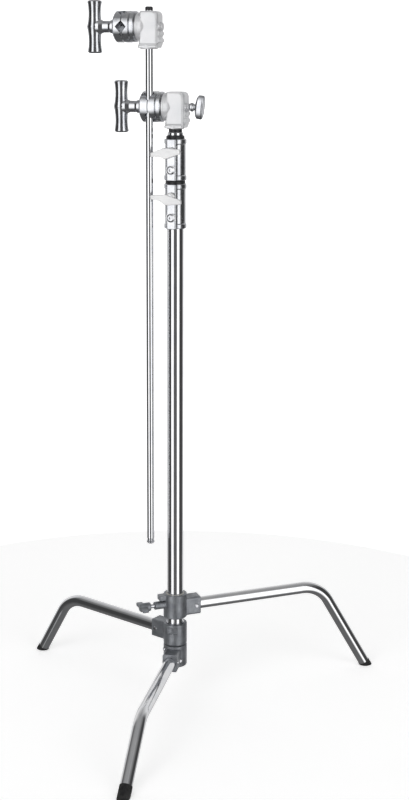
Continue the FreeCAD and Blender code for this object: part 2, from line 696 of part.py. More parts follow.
screws = []
for number, (azimuth, height) in enumerate(SCREWS, start=1):
    screw = inner_body("casting_screw_%d" % number)
    tip = size.hub_radius - size.screw_depth
    seat = size.hub_radius - size.screw_seat
    crown = size.hub_radius + size.screw_head
    rim = size.rivet_head_radius
    turned(screw, "casting_screw_turned_%d" % number, [
        (0, tip), (size.bolt_shank_radius, tip), (size.bolt_shank_radius, seat), (rim, seat),
        (rim, crown - size.rivet_head), (rim - size.rivet_head, crown), (0, crown)])
    lay = FreeCAD.Rotation(Z_AXIS, azimuth).multiply(FreeCAD.Rotation(Y_AXIS, 90))
    screw.Placement = FreeCAD.Placement(FreeCAD.Vector(0, 0, height), lay)
    screws.append(screw)
compound("casting_screws", screws)

rings = []
for number, low in enumerate((size.slide_low, size.slide_high - size.ring_height), start=1):
    ring = inner_body("slide_ring_%d" % number)
    turned(ring, "slide_ring_turned_%d" % number,
           rectangle(size.column_radius + size.running_gap, size.ring_radius, low,
                     low + size.ring_height))
    rings.append(ring)
compound("slide_rings", rings)

tube("retaining_ring", size.circlip_radius, size.column_radius, size.middle_high + 0.2,
     size.middle_high + 0.2 + size.circlip_height)


# ---------------------------------------------------------------- wing knob and its shoe
def lay_out(body, azimuth, z, x=0, y=0):
    """Point a piece made along Z straight out at an azimuth, at a height."""
    azimuth, z, x, y = as_size(azimuth), as_size(z), as_size(x), as_size(y)
    lay = FreeCAD.Rotation(Z_AXIS, azimuth.value).multiply(FreeCAD.Rotation(Y_AXIS, 90))
    body.Placement = FreeCAD.Placement(FreeCAD.Vector(x.value, y.value, z.value), lay)
    for name, amount in (("x", x), ("y", y), ("z", z)):
        bind(body, "Placement.Base." + name, amount)


wing_azimuth = size.slide_leg_azimuth + 180
shoe = new_body("brake_shoe")
turned(shoe, "brake_shoe_turned", rectangle(0, size.shoe_radius, size.shoe_front,
                                            size.shoe_front + size.shoe_length))
lay_out(shoe, wing_azimuth, size.wing_height)
wing_screw = new_body("wing_knob_screw")
turned(wing_screw, "wing_knob_screw_turned", rectangle(
    0, size.wing_screw_radius, size.wing_screw_tip, size.wing_hub_high - 6))
lay_out(wing_screw, wing_azimuth, size.wing_height)
wing = new_body("wing_knob")
turned(wing, "wing_knob_hub", [
    (0, size.wing_hub_low), (size.wing_hub_radius - 1.5, size.wing_hub_low),
    (size.wing_hub_radius, size.wing_hub_low + 1.5), (size.wing_hub_radius, size.wing_hub_high - 3),
    (size.wing_hub_radius - 3, size.wing_hub_high), (0, size.wing_hub_high)])
half = size.wing_length / 2
thick = size.wing_thickness / 2
wide = size.wing_width / 2
pad(wing, "wing_knob_wing", "YZ_Plane",
    [[(-half, size.wing_centre - wide + 2), (0, size.wing_centre - wide),
      (half, size.wing_centre - wide + 2), (half, size.wing_centre + wide),
      (0, size.wing_centre + wide - 2), (-half, size.wing_centre + wide)]], -thick, thick)
round_edges(wing, "wing_knob_corners", 3,
            lambda edge: edge.BoundBox.YLength < 0.01 and edge.BoundBox.ZLength < 0.01
            and abs(edge.BoundBox.YMin) > 20)
pocket(wing, "wing_knob_bore", "XY_Plane", [(0, 0, size.wing_screw_radius)],
       size.wing_hub_low - 1, size.wing_hub_high - 6)
lay_out(wing, wing_azimuth, size.wing_height)


# ---------------------------------------------------------------- top of the stand
cap_high = size.cap_low + size.cap_height
top_spigot = new_body("top_spigot")
groove_low = cap_high + 26
turned(top_spigot, "top_spigot_turned", [
    (0, size.cap_low - size.guide_neck), (size.riser_three_bore, size.cap_low - size.guide_neck),
    (size.riser_three_bore, size.cap_low), (size.cap_radius - 1, size.cap_low),
    (size.cap_radius, size.cap_low + 1), (size.cap_radius, cap_high - 1),
    (size.cap_radius - 1, cap_high), (size.spigot_radius, cap_high),
    (size.spigot_radius, groove_low), (size.spigot_radius - size.spigot_groove, groove_low + 2),
    (size.spigot_radius - size.spigot_groove, groove_low + 6),
    (size.spigot_radius, groove_low + 8), (size.spigot_radius, size.spigot_high - 1.5),
    (size.spigot_radius - 1.5, size.spigot_high), (0, size.spigot_high)])
top_ring = new_body("top_ring")
ring_high = cap_high + size.top_ring_height + 0.8
turned(top_ring, "top_ring_turned", [
    (size.spigot_radius + size.running_gap, cap_high), (size.top_ring_radius, cap_high),
    (size.top_ring_radius, ring_high - 1), (size.top_ring_radius - 1, ring_high),
    (size.spigot_radius + size.running_gap, ring_high)])

# ---------------------------------------------------------------- arm
arm_x = -size.jaw_split
arm_y = -size.groove_offset
rod = new_body("arm_rod")
turned(rod, "arm_rod_turned", rectangle(0, size.arm_radius, size.arm_low, size.arm_high))
pocket(rod, "arm_rod_tail_bore", "XY_Plane", [(0, 0, 4)], size.arm_low,
       size.arm_low + size.tail_plug)
place(rod, x=arm_x, y=arm_y)
arm_cap = new_body("arm_end_cap")
turned(arm_cap, "arm_end_cap_turned", [
    (0, size.arm_high), (size.arm_radius, size.arm_high),
    (size.arm_radius, size.arm_cap_high - 2), (size.arm_radius - 2, size.arm_cap_high),
    (0, size.arm_cap_high)])
place(arm_cap, x=arm_x, y=arm_y)
tail = new_body("arm_tail_cap")
tail_step = size.tail_low + size.tail_flange
turned(tail, "arm_tail_cap_turned", [
    (0, size.tail_low), (size.tail_radius - 2.5, size.tail_low),
    (size.tail_radius, size.tail_low + 2.5), (size.tail_radius, tail_step - 1),
    (size.tail_neck_radius, tail_step), (size.tail_neck_radius, size.arm_low),
    (4, size.arm_low), (4, size.arm_low + size.tail_plug), (0, size.arm_low + size.tail_plug)])
place(tail, x=arm_x, y=arm_y)


# ---------------------------------------------------------------- clamp heads
def groove(jaw, name, along, offset, depth, split, sign):
    """Cut one V-groove across the gripping face of a jaw, along local X or Y."""
    offset, depth = as_size(offset), as_size(depth)
    spread = depth + 3
    outline = [(offset - spread, split + 3 * sign), (offset, split - depth * sign),
               (offset + spread, split + 3 * sign)]
    role = "YZ_Plane" if along == "x" else "XZ_Plane"
    pocket(jaw, name, role, [outline], -40, 40)


def disc(name, outline):
    body = new_body(name)
    turned(body, name + "_turned", outline)
    return body


def point_forward(body, x, y, z, turn=0):
    """Lay a piece made along Z so that it points along -X, turned about that axis."""
    x, y, z = as_size(x), as_size(y), as_size(z)
    lay = FreeCAD.Rotation(X_AXIS, turn).multiply(FreeCAD.Rotation(Y_AXIS, -90))
    body.Placement = FreeCAD.Placement(FreeCAD.Vector(x.value, y.value, z.value), lay)
    for name, amount in (("x", x), ("y", y), ("z", z)):
        bind(body, "Placement.Base." + name, amount)


def clamp_head(prefix, x, y, z, bore_radius, bore_high, jaw_turn, handle_turn):
    """A cast head with a stud, a friction plate, two grooved jaws and a T-handle."""
    name = prefix + "_head_body"
    head = new_body(name)
    deep = size.head_half_depth
    pad(head, name + "_block", "XY_Plane",
        [rectangle(-size.head_face, size.head_back, -deep, deep)], -size.head_low, size.head_high)
    round_edges(head, name + "_sides", size.head_round, upright)
    round_edges(head, name + "_top", size.head_edge,
                lambda edge: level(edge, size.head_high))
    pad(head, name + "_flange", "YZ_Plane", [(0, 0, size.head_flange_radius)],
        -size.head_flange_back, -size.head_face + 1)
    pad(head, name + "_base", "XY_Plane", [(0, 0, size.head_base_radius)], -size.head_base,
        -size.head_low)
    pad(head, name + "_boss", "YZ_Plane", [(0, 0, size.head_boss_radius)], size.head_face,
        size.head_boss_reach)
    for number, height in enumerate((size.ear_upper, size.ear_lower), start=1):
        pad(head, name + "_ear_%d" % number, "XZ_Plane",
            [(size.ear_at, -height, size.ear_radius)], -size.ear_half, size.ear_half)
    pocket(head, name + "_bore", "XY_Plane", [(0, 0, bore_radius + size.running_gap)],
           -size.head_base - 1, bore_high)
    pocket(head, name + "_stud_bore", "YZ_Plane", [(0, 0, size.stud_radius)],
           -size.head_flange_back - 1, -size.stud_near)
    pocket(head, name + "_knob_bore", "YZ_Plane",
           [(0, 0, size.knob_screw_radius + size.running_gap)], 5, size.head_boss_reach + 1)
    place(head, x=x, y=y, z=z)

    stud = disc(prefix + "_head_stud", [
        (0, size.stud_near), (size.stud_radius, size.stud_near),
        (size.stud_radius, size.stud_far - 1.5), (size.stud_radius - 1.5, size.stud_far),
        (0, size.stud_far)])
    point_forward(stud, x, y, z)
    edge = size.plate_edge
    plate = disc(prefix + "_friction_plate", [
        (size.stud_bore, size.plate_back), (size.plate_radius - edge, size.plate_back),
        (size.plate_radius, size.plate_back + edge),
        (size.plate_radius, size.plate_front), (size.stud_bore, size.plate_front)])
    point_forward(plate, x, y, z)

    edge = size.jaw_edge
    inner_face = size.jaw_split - size.jaw_half_gap
    outer_face = size.jaw_split + size.jaw_half_gap
    inner = disc(prefix + "_inner_jaw", [
        (size.stud_bore, size.inner_jaw_back), (size.jaw_radius - edge, size.inner_jaw_back),
        (size.jaw_radius, size.inner_jaw_back + edge), (size.jaw_radius, inner_face),
        (size.stud_bore, inner_face)])
    outer = disc(prefix + "_outer_jaw", [
        (size.stud_bore, outer_face), (size.jaw_radius, outer_face),
        (size.jaw_radius, size.outer_jaw_front - edge),
        (size.jaw_radius - edge, size.outer_jaw_front),
        (size.stud_bore, size.outer_jaw_front)])
    for jaw, sign in ((inner, 1), (outer, -1)):
        label = jaw.Name
        groove(jaw, label + "_groove_1", "x", -size.groove_offset, size.groove_five_eighths,
               size.jaw_split, sign)
        groove(jaw, label + "_groove_2", "x", size.groove_offset, size.groove_half,
               size.jaw_split, sign)
        groove(jaw, label + "_groove_3", "y", -size.groove_offset, size.groove_three_eighths,
               size.jaw_split, sign)
        groove(jaw, label + "_groove_4", "y", size.groove_offset, size.groove_quarter,
               size.jaw_split, sign)
        point_forward(jaw, x, y, z, jaw_turn)
    washer = disc(prefix + "_handle_washer", rectangle(
        size.stud_bore, size.washer_radius, size.outer_jaw_front,
        size.outer_jaw_front + size.washer))
    point_forward(washer, x, y, z)
    t_handle(prefix, x, y, z, handle_turn)


def t_handle(prefix, x, y, z, turn):
    """A cast cross-bar handle with a waisted stem, threaded onto the stud."""
    name = prefix + "_t_handle"
    handle = new_body(name)
    half = size.handle_half
    rim = size.handle_end_radius
    chord = half - 3
    dip = (size.handle_end_radius + size.handle_mid_radius) / 2 - size.handle_waist_radius
    sweep = chord * chord / (dip * 8) + dip / 2
    turned(handle, name + "_bar", [
        (0, -half), (rim - 3, -half), (rim, -chord, -sweep), (size.handle_mid_radius, 0, -sweep),
        (rim, chord), (rim - 3, half), (0, half)], shift=-size.handle_at)
    turned(handle, name + "_stem", [
        (-size.handle_at, 0), (-size.stem_back, 0), (-size.stem_back, size.stem_radius - 1),
        (-size.stem_back - 1, size.stem_radius), (-size.stem_back - 8, size.stem_radius),
        (-size.stem_back - 12, size.stem_neck_radius),
        (-size.handle_at + size.handle_mid_radius + 3, size.stem_neck_radius),
        (-size.handle_at + size.handle_mid_radius - 4, size.stem_neck_radius + 3),
        (-size.handle_at, size.stem_neck_radius + 3)], axis="H_Axis")
    pocket(handle, name + "_bore", "YZ_Plane", [(0, 0, size.stud_bore)],
           -size.handle_bore_end, -size.stem_back + 1)
    place(handle, x=x, y=y, z=z, axis=X_AXIS, angle=turn)


clamp_head("lower", 0, 0, size.lower_head_height, size.spigot_radius,
           size.spigot_high - size.lower_head_height + 2, 0, 0)
clamp_head("upper", arm_x, arm_y, size.upper_head_height, size.arm_radius,
           size.head_high + 1, 60, 0)

# the lower head's spigot lock: a T-shaped knob, its screw and a brass pad
spigot_pad = new_body("spigot_pad")
pad_start = size.spigot_radius + size.pad_gap
turned(spigot_pad, "spigot_pad_turned", rectangle(
    0, size.knob_screw_radius, pad_start, size.knob_screw_tip))
lay_out(spigot_pad, 0, size.lower_head_height)
knob_screw = new_body("spigot_knob_screw")
turned(knob_screw, "spigot_knob_screw_turned", rectangle(
    0, size.knob_screw_radius, size.knob_screw_tip, size.knob_hub_high))
lay_out(knob_screw, 0, size.lower_head_height)
knob = new_body("spigot_knob")
turned(knob, "spigot_knob_hub", [
    (0, size.knob_hub_low), (size.knob_hub_radius - 2, size.knob_hub_low),
    (size.knob_hub_radius, size.knob_hub_low + 2), (size.knob_hub_radius, size.knob_bar_at),
    (0, size.knob_bar_at)])
turned(knob, "spigot_knob_bar", [
    (-size.knob_bar_half, 0), (-size.knob_bar_half, size.knob_bar_radius - 1),
    (-size.knob_bar_half + 1, size.knob_bar_radius),
    (0, size.knob_bar_radius - 1), (size.knob_bar_half - 1, size.knob_bar_radius),
    (size.knob_bar_half, size.knob_bar_radius - 1), (size.knob_bar_half, 0)],
    role="XY_Plane", axis="H_Axis", lift=size.knob_bar_at)
pocket(knob, "spigot_knob_bore", "XY_Plane", [(0, 0, size.knob_screw_radius)],
       size.knob_hub_low - 1, size.knob_hub_high)
lay_out(knob, 0, size.lower_head_height)

# ---------------------------------------------------------------- check and export
document.recompute()
for item in document.Objects:
    if "Invalid" in item.State or "Error" in item.State:
        raise RuntimeError("%s is not valid" % item.Name)
os.makedirs("parts", exist_ok=True)
for name, item in parts.items():
    shape = item.Shape
    if shape.isNull() or not shape.isValid() or shape.Volume <= 0:
        raise RuntimeError("%s has no valid solid" % name)
    shape.exportStep(os.path.join("parts", name + ".step"))
    print("%-26s %10.0f mm3  solids %d" % (name, shape.Volume, len(shape.Solids)))
print(len(parts), "pieces")
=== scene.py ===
import json
import math

import bmesh
import bpy
from mathutils import Matrix, Vector


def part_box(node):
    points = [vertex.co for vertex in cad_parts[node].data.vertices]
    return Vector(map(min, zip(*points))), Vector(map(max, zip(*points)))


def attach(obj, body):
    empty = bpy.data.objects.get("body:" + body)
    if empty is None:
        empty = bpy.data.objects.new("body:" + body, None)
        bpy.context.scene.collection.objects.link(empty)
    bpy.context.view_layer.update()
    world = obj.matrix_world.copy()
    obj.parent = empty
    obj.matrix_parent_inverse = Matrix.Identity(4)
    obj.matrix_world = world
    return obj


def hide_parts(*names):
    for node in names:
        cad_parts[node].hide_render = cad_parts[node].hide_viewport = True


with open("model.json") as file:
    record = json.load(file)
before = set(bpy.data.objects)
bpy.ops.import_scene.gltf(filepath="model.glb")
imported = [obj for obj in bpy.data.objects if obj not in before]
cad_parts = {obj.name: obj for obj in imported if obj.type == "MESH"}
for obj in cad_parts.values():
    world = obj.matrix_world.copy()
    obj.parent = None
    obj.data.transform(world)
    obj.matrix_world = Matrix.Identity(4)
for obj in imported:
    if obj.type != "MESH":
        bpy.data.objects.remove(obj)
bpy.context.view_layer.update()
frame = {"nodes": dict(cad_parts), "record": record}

# ---------------------------------------------------------------- view
CAMERA_DISTANCE = 2.8409
CAMERA_HEIGHT = 1.3694
CAMERA_AZIMUTH = math.radians(287.19)
CAMERA_YAW = math.radians(1.232)
CAMERA_PITCH = math.radians(10.927)
CAMERA_ROLL = math.radians(0.257)
CAMERA_LENS = 62.19
CAMERA_SHIFT = -0.0875
FLOOR_RADIUS = 1.1
STAGE_RADIUS = 14
STAGE_HEIGHT = 12


def add_camera():
    """Stand the camera where the photograph was taken from."""
    heading = CAMERA_AZIMUTH + math.pi - CAMERA_YAW
    ahead = Vector((math.cos(heading) * math.cos(CAMERA_PITCH),
                    math.sin(heading) * math.cos(CAMERA_PITCH), -math.sin(CAMERA_PITCH)))
    right = Vector((math.sin(heading), -math.cos(heading), 0))
    up = right.cross(ahead)
    turned_right = right * math.cos(CAMERA_ROLL) + up * math.sin(CAMERA_ROLL)
    turned_up = up * math.cos(CAMERA_ROLL) - right * math.sin(CAMERA_ROLL)
    place = Matrix((turned_right, turned_up, -ahead)).transposed().to_4x4()
    place.translation = Vector((CAMERA_DISTANCE * math.cos(CAMERA_AZIMUTH),
                                CAMERA_DISTANCE * math.sin(CAMERA_AZIMUTH), CAMERA_HEIGHT))
    camera = bpy.data.objects.new("camera", bpy.data.cameras.new("camera"))
    camera.data.lens = CAMERA_LENS
    camera.data.shift_y = CAMERA_SHIFT
    camera.data.clip_end = STAGE_RADIUS * 4
    camera.matrix_world = place
    bpy.context.collection.objects.link(camera)
    bpy.context.scene.camera = camera


# ---------------------------------------------------------------- materials
class Nodes:
    """Short calls for building one material's node tree."""

    def __init__(self, name):
        self.material = bpy.data.materials.new(name)
        self.material.use_nodes = True
        self.tree = self.material.node_tree
        self.shader = self.tree.nodes["Principled BSDF"]
        self.place = self.tree.nodes.new("ShaderNodeTexCoord").outputs["Object"]

    def link(self, source, target):
        """Join an output to an input."""
        self.tree.links.new(source, target)

    def set(self, **values):
        """Set constants on the shader; underscores stand for spaces."""
        for key, value in values.items():
            self.shader.inputs[key.replace("_", " ")].default_value = value

    def noise(self, scale, detail=3, stretch=(1, 1, 1)):
        """Noise in object space; a stretch below one draws it out along that axis."""
        mapping = self.tree.nodes.new("ShaderNodeMapping")
        mapping.inputs["Scale"].default_value = stretch
        self.link(self.place, mapping.inputs["Vector"])
        texture = self.tree.nodes.new("ShaderNodeTexNoise")
        texture.inputs["Scale"].default_value = scale
        texture.inputs["Detail"].default_value = detail
        self.link(mapping.outputs["Vector"], texture.inputs["Vector"])
        return texture.outputs["Fac"]

    def cells(self, scale):
        """Distance to the nearest cell centre, for pits and grains."""
        texture = self.tree.nodes.new("ShaderNodeTexVoronoi")
        texture.inputs["Scale"].default_value = scale
        self.link(self.place, texture.inputs["Vector"])
        return texture.outputs["Distance"]

    def fit(self, source, low, high, start=0.3, end=0.7):
        """Map a source between two numbers."""
        node = self.tree.nodes.new("ShaderNodeMapRange")
        for key, value in (("From Min", start), ("From Max", end), ("To Min", low), ("To Max", high)):
            node.inputs[key].default_value = value
        self.link(source, node.inputs["Value"])
        return node.outputs["Result"]

    def colours(self, source, first, second, start=0.3, end=0.7):
        """Blend two colours by a source."""
        ramp = self.tree.nodes.new("ShaderNodeValToRGB")
        ramp.color_ramp.elements[0].position = start
        ramp.color_ramp.elements[0].color = (*first, 1)
        ramp.color_ramp.elements[1].position = end
        ramp.color_ramp.elements[1].color = (*second, 1)
        self.link(source, ramp.inputs["Fac"])
        return ramp.outputs["Color"]

    def bump(self, source, strength, depth, under=None):
        """Raise the surface by a source, on top of an earlier bump."""
        node = self.tree.nodes.new("ShaderNodeBump")
        node.inputs["Strength"].default_value = strength
        node.inputs["Distance"].default_value = depth
        self.link(source, node.inputs["Height"])
        if under is not None:
            self.link(under, node.inputs["Normal"])
        return node.outputs["Normal"]

    def finish(self, colour=None, roughness=None, normal=None):
        """Join what was worked out to the shader."""
        for key, source in (("Base Color", colour), ("Roughness", roughness), ("Normal", normal)):
            if source is not None:
                self.link(source, self.shader.inputs[key])
        return self.material


def polished_tube():
    """Chromed steel tube: bright, with drawing lines along it and faint handling marks."""
    nodes = Nodes("polished_tube")
    nodes.set(Metallic=1.0)
    lines = nodes.noise(420, 3, (1, 1, 0.02))
    marks = nodes.noise(38, 5)
    colour = nodes.colours(marks, (0.80, 0.81, 0.84), (0.90, 0.90, 0.91))
    rough = nodes.fit(nodes.noise(90, 4, (1, 1, 0.15)), 0.05, 0.13)
    return nodes.finish(colour, rough, nodes.bump(lines, 0.05, 0.0004))


def polished_casting():
    """Polished zinc casting: darker chrome that is slightly wavy, with small pits."""
    nodes = Nodes("polished_casting")
    nodes.set(Metallic=1.0)
    wave = nodes.bump(nodes.noise(70, 2), 0.18, 0.0012)
    pits = nodes.bump(nodes.cells(900), 0.04, 0.0003, wave)
    colour = nodes.colours(nodes.noise(45, 4), (0.50, 0.51, 0.54), (0.70, 0.71, 0.73))
    return nodes.finish(colour, nodes.fit(nodes.noise(160, 4), 0.07, 0.2), pits)


def satin_metal(name, dark, light, low, high, metallic):
    """Blasted casting: fine grain, soft gloss and slow changes of tone."""
    nodes = Nodes(name)
    nodes.set(Metallic=metallic)
    grain = nodes.bump(nodes.noise(1500, 4), 0.12, 0.0004)
    skin = nodes.bump(nodes.noise(110, 3), 0.1, 0.0012, grain)
    colour = nodes.colours(nodes.noise(30, 5), dark, light)
    return nodes.finish(colour, nodes.fit(nodes.noise(240, 5), low, high), skin)


def dull_casting():
    """Rough grey cast metal with a tumbled grain, darker pores and rubbed patches."""
    nodes = Nodes("base_casting")
    nodes.set(Metallic=0.75)
    grain = nodes.bump(nodes.noise(900, 5), 0.3, 0.0006)
    pores = nodes.bump(nodes.cells(420), 0.1, 0.0006, grain)
    colour = nodes.colours(nodes.noise(55, 6), (0.22, 0.23, 0.25), (0.35, 0.365, 0.39), 0.32, 0.68)
    return nodes.finish(colour, nodes.fit(nodes.noise(300, 5), 0.32, 0.52), pores)


def fastener():
    """Zinc-plated steel with fine turning lines."""
    nodes = Nodes("fastener")
    nodes.set(Metallic=1.0)
    lines = nodes.bump(nodes.noise(1800, 2, (1, 0.15, 1)), 0.1, 0.0002)
    colour = nodes.colours(nodes.noise(120, 4), (0.52, 0.53, 0.56), (0.74, 0.74, 0.75))
    return nodes.finish(colour, nodes.fit(nodes.noise(260, 3), 0.16, 0.32), lines)


def brass():
    """Plain turned brass, slightly tarnished."""
    nodes = Nodes("brass")
    nodes.set(Metallic=1.0)
    colour = nodes.colours(nodes.noise(200, 4), (0.55, 0.38, 0.16), (0.80, 0.62, 0.30))
    return nodes.finish(colour, nodes.fit(nodes.noise(300, 3), 0.22, 0.4),
                        nodes.bump(nodes.noise(900, 2), 0.1, 0.0002))


def plastic(name, dark, light, low, high):
    """Moulded plastic with a fine texture and scuffs."""
    nodes = Nodes(name)
    nodes.set(Metallic=0.0)
    skin = nodes.bump(nodes.noise(1300, 3), 0.2, 0.0003)
    colour = nodes.colours(nodes.noise(90, 5), dark, light)
    return nodes.finish(colour, nodes.fit(nodes.noise(180, 4), low, high), skin)


def rubber():
    """Black rubber: matte, dusty in patches, with a moulded grain."""
    nodes = Nodes("rubber")
    nodes.set(Metallic=0.0)
    grain = nodes.bump(nodes.noise(700, 5), 0.35, 0.0006)
    colour = nodes.colours(nodes.noise(60, 6), (0.012, 0.012, 0.013), (0.05, 0.049, 0.047), 0.4, 0.75)
    return nodes.finish(colour, nodes.fit(nodes.noise(140, 4), 0.6, 0.85), grain)


MATERIALS = {
    "polished_tube": polished_tube(),
    "polished_casting": polished_casting(),
    "head_casting": satin_metal("head_casting", (0.78, 0.79, 0.81), (0.87, 0.87, 0.88), 0.3, 0.42, 0.5),
    "collar_casting": satin_metal("collar_casting", (0.56, 0.57, 0.60), (0.70, 0.71, 0.73),
                                  0.16, 0.28, 1.0),
    "lever_casting": satin_metal("lever_casting", (0.86, 0.86, 0.87), (0.94, 0.94, 0.94),
                                 0.3, 0.44, 0.35),
    "base_casting": dull_casting(),
    "fastener": fastener(),
    "brass": brass(),
    "black_plastic": plastic("black_plastic", (0.014, 0.014, 0.016), (0.04, 0.04, 0.043), 0.3, 0.5),
    "guide_plastic": plastic("guide_plastic", (0.60, 0.58, 0.52), (0.74, 0.72, 0.67), 0.35, 0.5),
    "rubber": rubber(),
    "tail_metal": satin_metal("tail_metal", (0.46, 0.47, 0.50), (0.68, 0.69, 0.71), 0.16, 0.3, 1.0),
}


def dress_nodes():
    """Give every CAD node the material of its slot in the record."""
    for part in frame["record"]["subparts"]:
        shown = frame["nodes"].get(part["node"])
        if shown is not None:
            shown.data.materials.clear()
            shown.data.materials.append(MATERIALS[part["material_slot"]])


# ---------------------------------------------------------------- replacement pieces
MM = 0.001
SIDES = ("lower", "upper")


def lathe(shape, profile, place, steps=72):
    """Turn (radius, height) points in millimetres about local Z."""
    rings = []
    for radius, height in profile:
        ring = []
        for step in range(steps):
            angle = 2 * math.pi * step / steps
            spot = Vector((radius * math.cos(angle), radius * math.sin(angle), height)) * MM
            ring.append(shape.verts.new(place @ spot))
        rings.append(ring)
    for lower, upper in zip(rings, rings[1:]):
        for i in range(steps):
            j = (i + 1) % steps
            shape.faces.new((lower[i], lower[j], upper[j], upper[i]))
    shape.faces.new(list(reversed(rings[0])))
    shape.faces.new(rings[-1])


def loft(shape, sections, place):
    """Join outlines of equal length, each given as 3-D points in millimetres."""
    rings = [[shape.verts.new(place @ (Vector(spot) * MM)) for spot in section] for section in sections]
    count = len(rings[0])
    for lower, upper in zip(rings, rings[1:]):
        for i in range(count):
            j = (i + 1) % count
            shape.faces.new((lower[i], lower[j], upper[j], upper[i]))
    shape.faces.new(list(reversed(rings[0])))
    shape.faces.new(rings[-1])


def rounded(corners, steps=6):
    """Outline from (x, y, radius) corners, each rounded by an arc of that radius."""
    points = []
    count = len(corners)
    for i, (x, y, radius) in enumerate(corners):
        here = Vector((x, y))
        before = (Vector(corners[i - 1][:2]) - here).normalized()
        after = (Vector(corners[(i + 1) % count][:2]) - here).normalized()
        if radius == 0:
            points.append(here)
            continue
        half = before.angle(after) / 2
        reach = radius / math.tan(half)
        middle = here + (before + after).normalized() * (radius / math.sin(half))
        start, end = here + before * reach - middle, here + after * reach - middle
        sweep = start.angle_signed(end)
        for step in range(steps + 1):
            turn = Matrix.Rotation(-sweep * step / steps, 2)
            points.append(middle + turn @ start)
    return points


def show(name, mesh, body, slot, *nodes):
    """Put a finished mesh on a body in place of some CAD nodes."""
    mesh.materials.clear()
    mesh.materials.append(MATERIALS[slot])
    piece = bpy.data.objects.new(name, mesh)
    bpy.context.collection.objects.link(piece)
    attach(piece, body)
    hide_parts(*nodes)
    return piece


def baked(mesh, modifiers):
    """Return a new mesh with a list of (type, settings) modifiers applied."""
    carrier = bpy.data.objects.new("carrier", mesh)
    bpy.context.collection.objects.link(carrier)
    for kind, settings in modifiers:
        modifier = carrier.modifiers.new(kind.lower(), kind)
        for key, value in settings.items():
            setattr(modifier, key, value)
    seen = carrier.evaluated_get(bpy.context.evaluated_depsgraph_get())
    result = bpy.data.meshes.new_from_object(seen)
    bpy.data.objects.remove(carrier)
    return result


KEPT_FACES = 0.45


def as_casting(mesh, grain, rounds):
    """Melt overlapping closed shells into one skin with soft inner and outer corners."""
    mesh = baked(mesh, [
        ("REMESH", {"mode": "VOXEL", "voxel_size": grain * MM, "use_smooth_shade": True}),
        ("SMOOTH", {"factor": 0.5, "iterations": rounds}),
        ("DECIMATE", {"ratio": KEPT_FACES})])
    mesh.polygons.foreach_set("use_smooth", [True] * len(mesh.polygons))
    return mesh


def mesh_of(shape):
    """Close a working shape and return it as a mesh."""
    bmesh.ops.recalc_face_normals(shape, faces=shape.faces)
    mesh = bpy.data.meshes.new("shell")
    shape.to_mesh(mesh)
    shape.free()
    return mesh


def block(shape, outline, near, far, place):
    """Extrude an outline in local X and Z from y = near to y = far."""
    loft(shape, [[(x, y, z) for x, z in outline] for y in (near, far)], place)


# clamp heads, in millimetres from the crossing of the bore and the clamp axis
STUD_INNER_END = -9.5
HEAD_FRONT = ((-15, 31, 3), (24, 31, 10), (24, -38, 2), (-18, -38, 1), (-14, -12, 20))
HEAD_DEPTH = 20
HEAD_LENGTH = 22
HEAD_HEIGHT = 40
HEAD_EDGES = ((0, 4), (1.2, 1.2), (4, 0))
HEAD_FLANGE = ((20, 6), (23, 12), (26.5, 16), (28, 18), (28, 22.4), (27.2, 23.2))
HEAD_COLLAR = ((18.5, -44), (18.5, -38))
HEAD_PLATE = ((-19.5, -18, 4), (22, -18, 4), (22, 18, 4), (-19.5, 18, 4))
HEAD_PLATE_SPAN = (-42, -38)
KNOB_BOSS = ((8.5, 15), (8.5, 28.5), (7.2, 30))
LOBE = ((4.6, -16), (5.7, -15), (5.7, 15), (4.6, 16))
LOBE_STEPS = 32
LOBE_REACH = 22
LOBE_HEIGHTS = (0, -13.5, -27)


def head_centre(prefix):
    """The crossing of a clamp head's bore and clamp axis, read from the CAD boxes."""
    plate_low, plate_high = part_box(prefix + "_friction_plate")
    body_low, body_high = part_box(prefix + "_head_body")
    stud_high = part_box(prefix + "_head_stud")[1]
    middle = (plate_low + plate_high) / 2
    return Vector((stud_high.x - STUD_INNER_END * MM, (body_low.y + body_high.y) / 2, middle.z))


def head_body(prefix):
    """Cast head: round flange in front, flat sides, three lobes behind and a foot plate."""
    shape = bmesh.new()
    place = Matrix.Translation(head_centre(prefix))
    forward = place @ Matrix.Rotation(math.radians(-90), 4, "Y")
    back = place @ Matrix.Rotation(math.radians(90), 4, "Y")
    outline = rounded(HEAD_FRONT)
    for inset, drop in HEAD_EDGES:
        inner = [(x * (1 - inset / HEAD_LENGTH), z * (1 - inset / HEAD_HEIGHT)) for x, z in outline]
        block(shape, inner, drop - HEAD_DEPTH, HEAD_DEPTH - drop, place)
    lathe(shape, HEAD_FLANGE, forward)
    lathe(shape, HEAD_COLLAR, place)
    plate = rounded(HEAD_PLATE)
    loft(shape, [[(x, y, z) for x, y in plate] for z in HEAD_PLATE_SPAN], place)
    lathe(shape, KNOB_BOSS, back)
    for height in LOBE_HEIGHTS:
        across = place @ Matrix.Translation(Vector((LOBE_REACH, 0, height)) * MM)
        across = across @ Matrix.Rotation(math.radians(90), 4, "X")
        lathe(shape, LOBE, across, LOBE_STEPS)
    mesh = as_casting(mesh_of(shape), 0.75, 4)
    show(prefix + "_head_casting", mesh, prefix + "_head", "head_casting", prefix + "_head_body")


